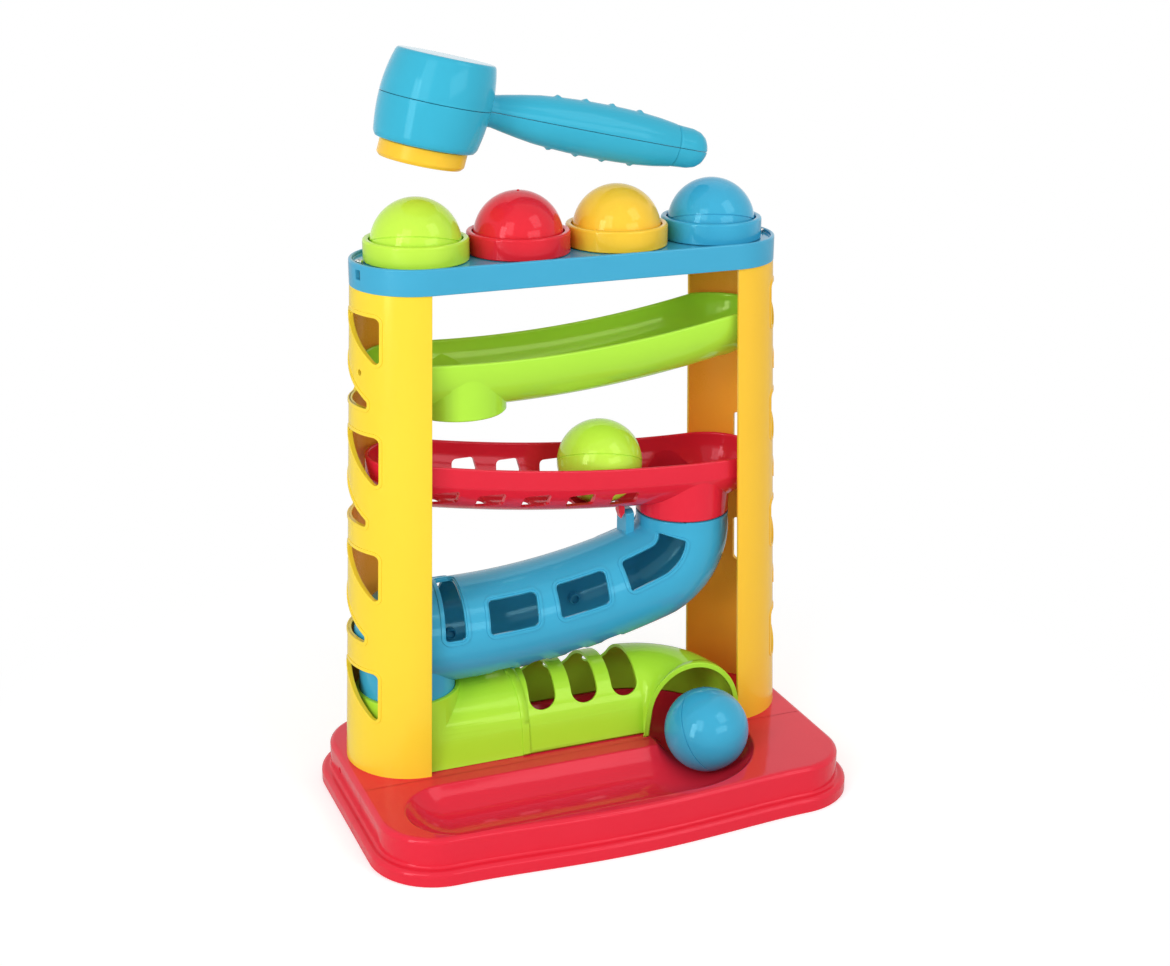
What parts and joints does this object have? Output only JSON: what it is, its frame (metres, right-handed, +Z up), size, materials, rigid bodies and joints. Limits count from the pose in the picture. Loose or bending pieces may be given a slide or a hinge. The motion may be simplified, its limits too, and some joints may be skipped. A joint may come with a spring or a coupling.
{
  "type": "ball pounding bench",
  "caption": "Toy bench with balls held in rings on a raised plate, an oval hammer to pound them through, and gutters, a tube and a tunnel that bring them out at the front.",
  "frame": {"origin": "centre of the overall box in plan, on the plane the base stands on", "axes": "+X along the tower to the right, +Y to the back (the trough is at -Y), +Z up"},
  "size_m": [0.264, 0.163, 0.3895],
  "materials": {
    "base_red": "moulded, coloured through",
    "blue_ball": "moulded, coloured through",
    "column_yellow": "moulded, coloured through",
    "cover_red": "moulded, coloured through",
    "finger_yellow": "moulded, coloured through",
    "green_ball": "moulded, coloured through",
    "gutter_green": "moulded, coloured through",
    "gutter_red": "moulded, coloured through",
    "hammer_blue": "moulded, coloured through",
    "pad_yellow": "moulded, coloured through",
    "plate_blue": "moulded, coloured through",
    "red_ball": "moulded, coloured through",
    "ring_blue": "moulded, coloured through",
    "ring_green": "moulded, coloured through",
    "ring_red": "moulded, coloured through",
    "ring_yellow": "moulded, coloured through",
    "steel": "plain plated",
    "tube_blue": "moulded, coloured through",
    "tunnel_green": "moulded, coloured through",
    "yellow_ball": "moulded, coloured through"
  },
  "bodies": {
    "tower": {"base_cover": "cover_red", "cover_screw_front_tray_left": "steel", "cover_screw_front_tray_right": "steel", "cover_screw_rear_deck_left": "steel", "cover_screw_rear_deck_right": "steel", "finger_collar_blue": "finger_yellow", "finger_collar_green": "finger_yellow", "finger_collar_red": "finger_yellow", "finger_collar_yellow": "finger_yellow", "front_tray": "base_red", "left_column": "column_yellow", "middle_gutter": "gutter_red", "plate_screw_left": "steel", "plate_screw_right": "steel", "rear_deck": "base_red", "right_column": "column_yellow", "ring_blue": "ring_blue", "ring_green": "ring_green", "ring_red": "ring_red", "ring_yellow": "ring_yellow", "top_plate": "plate_blue", "tube_lower": "tube_blue", "tube_upper": "tube_blue", "tunnel_exit": "tunnel_green", "tunnel_inlet": "tunnel_green", "upper_gutter": "gutter_green"},
    "green_ball": {"green_ball_lower": "green_ball", "green_ball_upper": "green_ball"},
    "red_ball": {"red_ball_lower": "red_ball", "red_ball_upper": "red_ball"},
    "yellow_ball": {"yellow_ball_lower": "yellow_ball", "yellow_ball_upper": "yellow_ball"},
    "blue_ball": {"blue_ball_lower": "blue_ball", "blue_ball_upper": "blue_ball"},
    "middle_ball": {"middle_ball_lower": "green_ball", "middle_ball_upper": "green_ball"},
    "exit_ball": {"exit_ball_lower": "blue_ball", "exit_ball_upper": "blue_ball"},
    "hammer": {"hammer_upper": "hammer_blue", "hammer_lower": "hammer_blue", "striking_pad": "pad_yellow"}
  },
  "joints": [
    {"name": "green_ball_drop", "type": "slide", "parent": "tower", "child": "green_ball", "axis": [0, 0, -1], "range_m": [0, 0.0581], "deforming": ["finger_collar_green"]},
    {"name": "red_ball_drop", "type": "slide", "parent": "tower", "child": "red_ball", "axis": [0, 0, -1], "range_m": [0, 0.0592], "deforming": ["finger_collar_red"]},
    {"name": "yellow_ball_drop", "type": "slide", "parent": "tower", "child": "yellow_ball", "axis": [0, 0, -1], "range_m": [0, 0.0554], "deforming": ["finger_collar_yellow"]},
    {"name": "blue_ball_drop", "type": "slide", "parent": "tower", "child": "blue_ball", "axis": [0, 0, -1], "range_m": [0, 0.0467], "deforming": ["finger_collar_blue"]},
    {"name": "middle_ball_roll", "type": "hinge", "parent": "tower", "child": "middle_ball", "pos_m": [0.08, 0.0265, 0.95599], "axis": [0, 1, 0], "range_deg": [-1.73, 5.76]},
    {"name": "exit_ball_turn", "type": "hinge", "parent": "tower", "child": "exit_ball", "pos_m": [0.034, -0.016, 0.0328], "axis": [0, 0, 1], "range_deg": [-66, 24]},
    {"name": "hammer_swing", "type": "hinge", "parent": "tower", "child": "hammer", "pos_m": [0.06983, 0.0265, 0.33276], "axis": [0, 1, 0], "range_deg": [-6, 40]}
  ]
}
